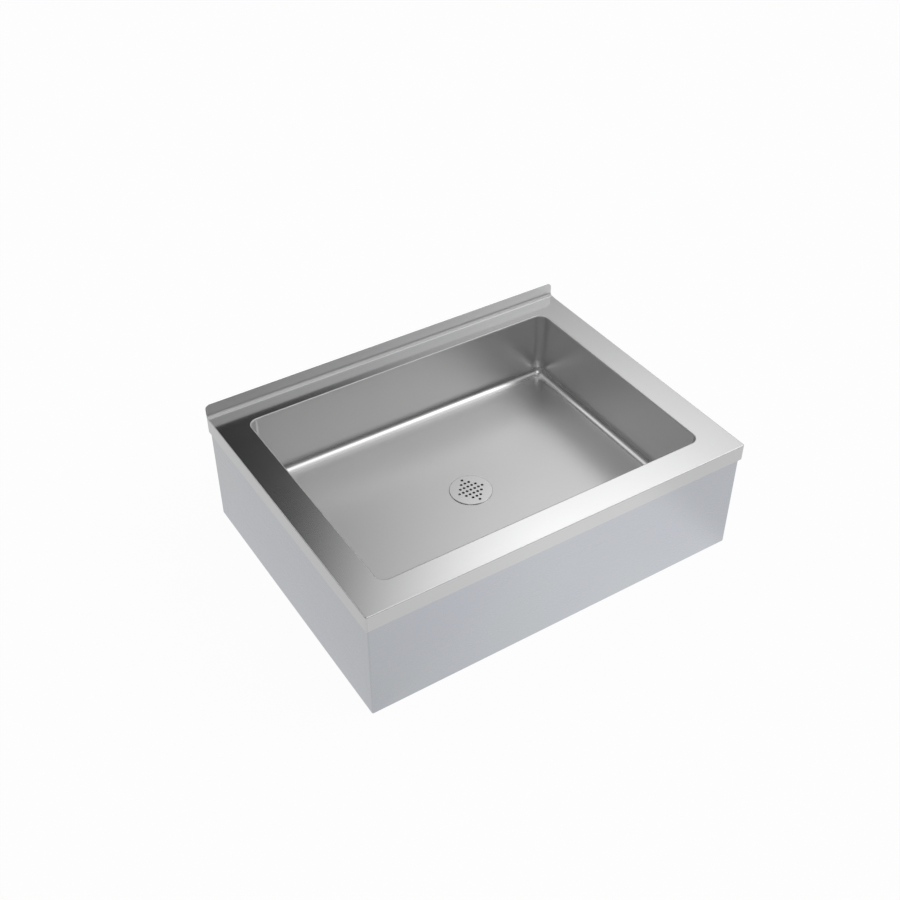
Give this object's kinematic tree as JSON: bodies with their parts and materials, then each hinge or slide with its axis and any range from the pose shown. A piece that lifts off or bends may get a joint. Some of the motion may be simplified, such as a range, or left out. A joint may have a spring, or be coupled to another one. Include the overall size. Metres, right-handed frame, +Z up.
{
  "type": "mop service sink",
  "caption": "Floor-standing stainless mop sink: folded rim with a low rear splash round a coved bowl, box skirt down to the floor, and a lift-out strainer over a threaded outlet.",
  "frame": {"origin": "on the floor, under the centre of the deck's outline", "axes": "+X to the right along the width, +Y back towards the wall, +Z up"},
  "size_m": [0.838, 0.635, 0.283],
  "materials": {
    "deck_steel": "fine brushed stainless, grain along the sink",
    "bowl_steel": "satin stainless, ground welds",
    "skirt_steel": "satin stainless, grain along the sink",
    "strainer_steel": "polished stainless, punched holes",
    "outlet_steel": "turned stainless",
    "zinc_steel": "zinc-plated steel",
    "galvanised_steel": "galvanised sheet",
    "brass": "cast brass",
    "rubber": "moulded black rubber",
    "damping_pad": "rolled damping sheet",
    "fibre": "pressed fibre",
    "foot_plastic": "moulded nylon"
  },
  "bodies": {
    "sink": {"deck": "deck_steel", "bowl": "bowl_steel", "front_skirt": "skirt_steel", "rear_skirt": "skirt_steel", "left_skirt": "skirt_steel", "right_skirt": "skirt_steel", "drain_body": "outlet_steel", "drain_gasket": "rubber", "friction_washer": "fibre", "drain_locknut": "zinc_steel", "tailpiece_washer": "rubber", "tailpiece": "outlet_steel", "coupling_nut": "brass", "weld_nuts": "zinc_steel", "bearer_left": "galvanised_steel", "bearer_right": "galvanised_steel", "sound_pad_front_left": "damping_pad", "sound_pad_front_right": "damping_pad", "sound_pad_rear_left": "damping_pad", "sound_pad_rear_right": "damping_pad", "corner_bracket_front_left": "galvanised_steel", "corner_bracket_front_right": "galvanised_steel", "corner_bracket_rear_left": "galvanised_steel", "corner_bracket_rear_right": "galvanised_steel"},
    "strainer": {"strainer": "strainer_steel"},
    "pad_front_left": {"foot_pad_front_left": "foot_plastic"},
    "pad_front_right": {"foot_pad_front_right": "foot_plastic"},
    "pad_rear_left": {"foot_pad_rear_left": "foot_plastic"},
    "pad_rear_right": {"foot_pad_rear_right": "foot_plastic"},
    "stud_front_left": {"foot_stud_front_left": "zinc_steel"},
    "stud_front_right": {"foot_stud_front_right": "zinc_steel"},
    "stud_rear_left": {"foot_stud_rear_left": "zinc_steel"},
    "stud_rear_right": {"foot_stud_rear_right": "zinc_steel"}
  },
  "joints": [
    {"name": "strainer_lift", "type": "slide", "parent": "sink", "child": "strainer", "axis": [0, 0, 1], "range_m": [0, 0.2]},
    {"name": "foot_travel_front_left", "type": "slide", "parent": "sink", "child": "pad_front_left", "axis": [0, 0, -1], "range_m": [0, 0.015]},
    {"name": "foot_travel_front_right", "type": "slide", "parent": "sink", "child": "pad_front_right", "axis": [0, 0, -1], "range_m": [0, 0.015]},
    {"name": "foot_travel_rear_left", "type": "slide", "parent": "sink", "child": "pad_rear_left", "axis": [0, 0, -1], "range_m": [0, 0.015]},
    {"name": "foot_travel_rear_right", "type": "slide", "parent": "sink", "child": "pad_rear_right", "axis": [0, 0, -1], "range_m": [0, 0.015]},
    {"name": "stud_turn_front_left", "type": "hinge", "parent": "pad_front_left", "child": "stud_front_left", "pos_m": [-0.3729, -0.2714, 0.02], "axis": [0, 0, -1], "range_deg": [0, 3600]},
    {"name": "stud_turn_front_right", "type": "hinge", "parent": "pad_front_right", "child": "stud_front_right", "pos_m": [0.3729, -0.2714, 0.02], "axis": [0, 0, -1], "range_deg": [0, 3600]},
    {"name": "stud_turn_rear_left", "type": "hinge", "parent": "pad_rear_left", "child": "stud_rear_left", "pos_m": [-0.3729, 0.276, 0.02], "axis": [0, 0, -1], "range_deg": [0, 3600]},
    {"name": "stud_turn_rear_right", "type": "hinge", "parent": "pad_rear_right", "child": "stud_rear_right", "pos_m": [0.3729, 0.276, 0.02], "axis": [0, 0, -1], "range_deg": [0, 3600]}
  ],
  "couplings": [
    {"joint": "stud_turn_front_left", "follows": "foot_travel_front_left", "rad_per_m": 4188.8},
    {"joint": "stud_turn_front_right", "follows": "foot_travel_front_right", "rad_per_m": 4188.8},
    {"joint": "stud_turn_rear_left", "follows": "foot_travel_rear_left", "rad_per_m": 4188.8},
    {"joint": "stud_turn_rear_right", "follows": "foot_travel_rear_right", "rad_per_m": 4188.8}
  ]
}
